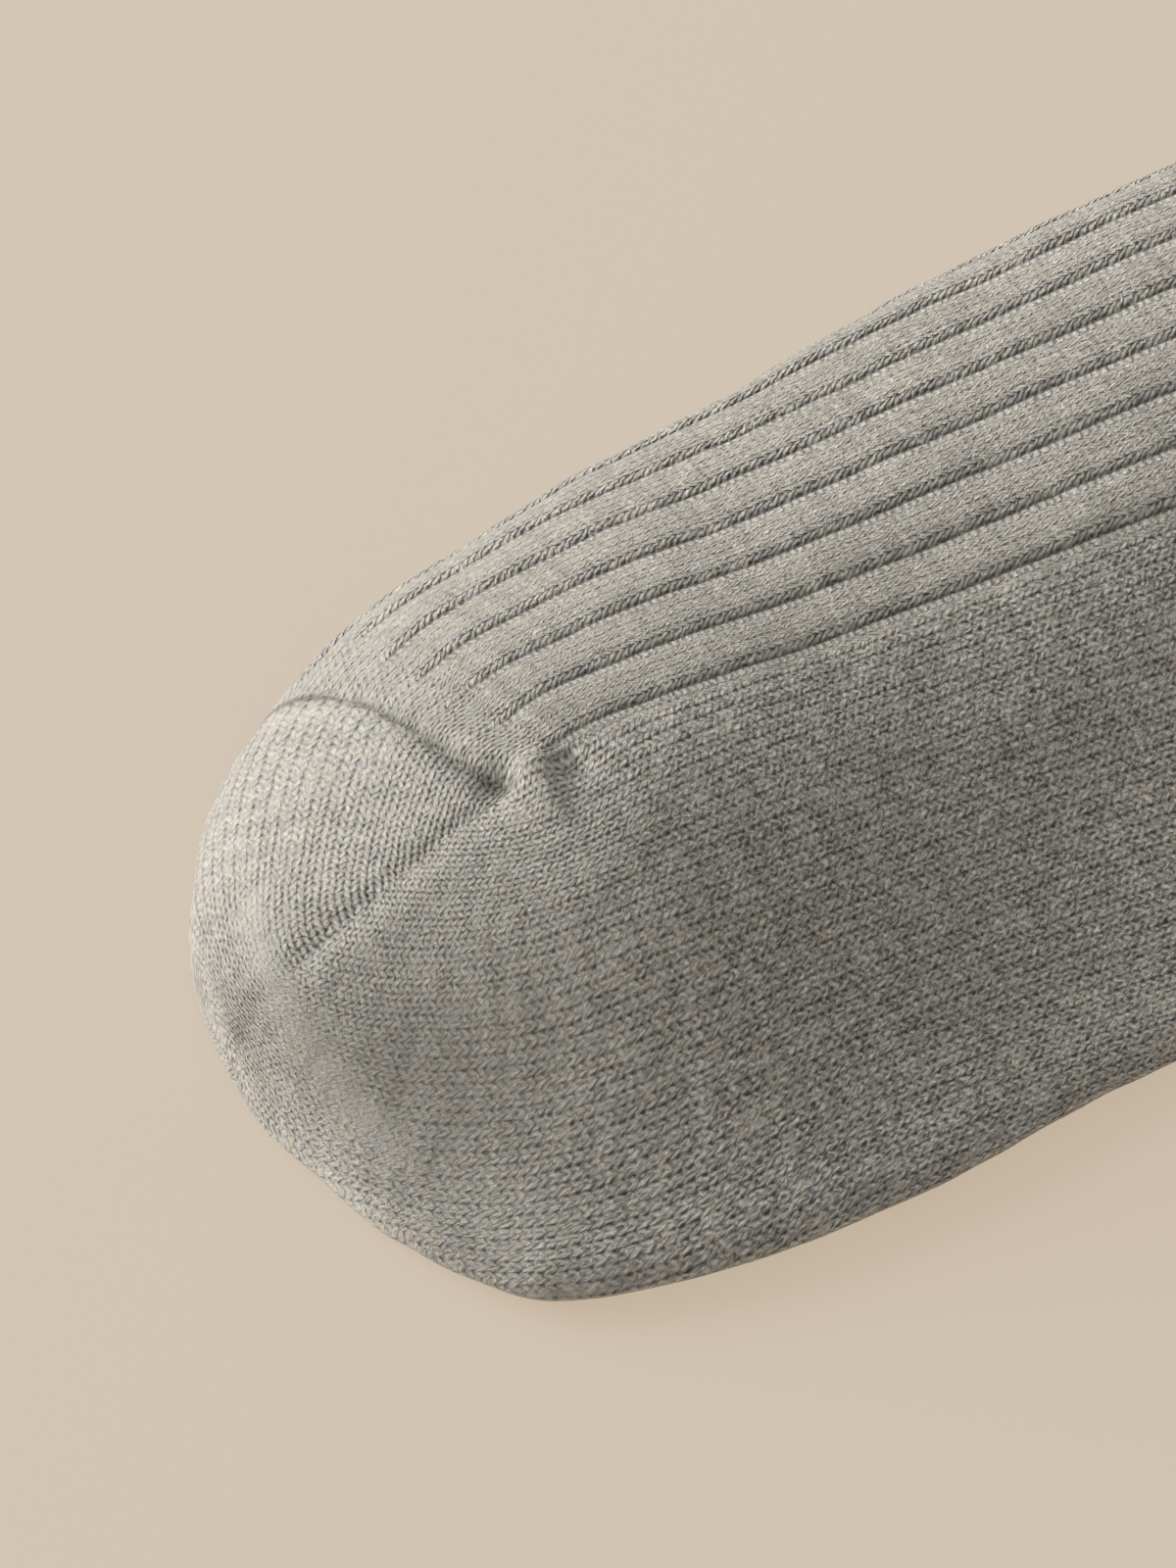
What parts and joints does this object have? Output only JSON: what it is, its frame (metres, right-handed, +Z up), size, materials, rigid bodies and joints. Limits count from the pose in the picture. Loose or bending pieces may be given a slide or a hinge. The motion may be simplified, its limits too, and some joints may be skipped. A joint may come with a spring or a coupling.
{
  "type": "crew sock",
  "caption": "Heather knitted crew sock lying flat on its side, with a plain sole, a ribbed instep and leg, a rounded toe pocket with a seam across it and an open cuff.",
  "frame": {"origin": "on the surface that the sock lies on, under the middle of its box", "axes": "+X from the toe to the heel, +Y from the sole to the instep, +Z up from the surface"},
  "size_m": [0.322, 0.2352, 0.0262],
  "materials": {
    "plain_knit": "matte heather grey jersey knit with fine light and dark fibres",
    "ribbed_knit": "matte heather grey knit, plain on the sole and ribbed on the instep and leg",
    "welt_knit": "matte heather grey double welt, finely ribbed"
  },
  "bodies": {
    "root": {"toe_pocket": "plain_knit", "foot": "ribbed_knit", "heel_pocket": "plain_knit", "leg": "ribbed_knit", "cuff_welt": "welt_knit"}
  },
  "joints": []
}
